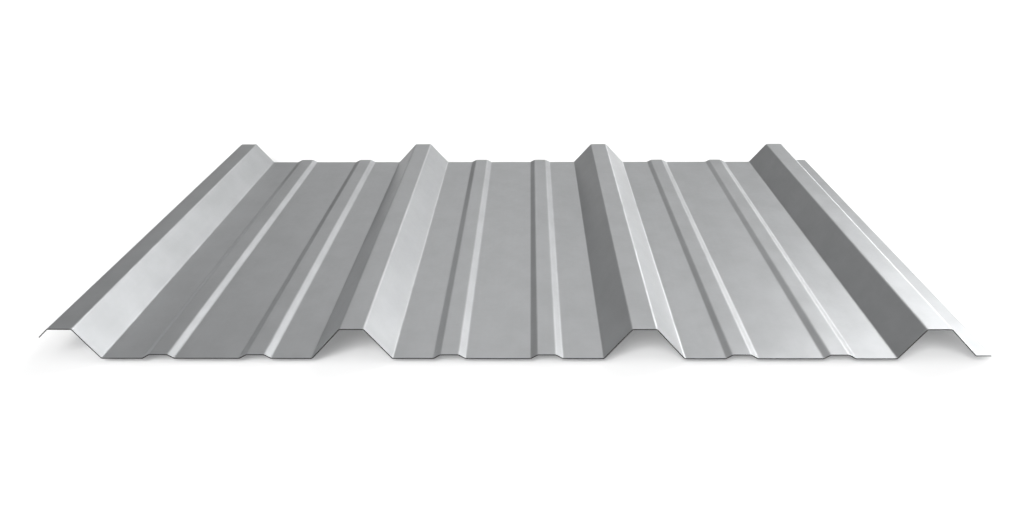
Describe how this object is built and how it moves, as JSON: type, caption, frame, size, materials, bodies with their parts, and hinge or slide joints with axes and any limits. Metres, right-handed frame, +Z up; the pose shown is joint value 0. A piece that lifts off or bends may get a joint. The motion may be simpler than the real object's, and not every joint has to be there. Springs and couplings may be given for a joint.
{
  "type": "corrugated metal sheet",
  "caption": "Flat-lying roll-formed zinc-coated steel roof and wall sheet with tall trapezoidal ribs, low stiffening waves in its pans and a lap on each side",
  "frame": {"origin": "on the underside of the middle pan, midway along the sheet and midway across its cover width, so the pans lie on Z = 0", "axes": "+Y along the ribs, +X across them from the lip side to the foot side, +Z up through the rib tops"},
  "size_m": [0.9914, 1.04, 0.0325],
  "materials": {
    "zinc_steel": "satin"
  },
  "bodies": {
    "root": {"ribbed_sheet": "zinc_steel"}
  },
  "joints": []
}
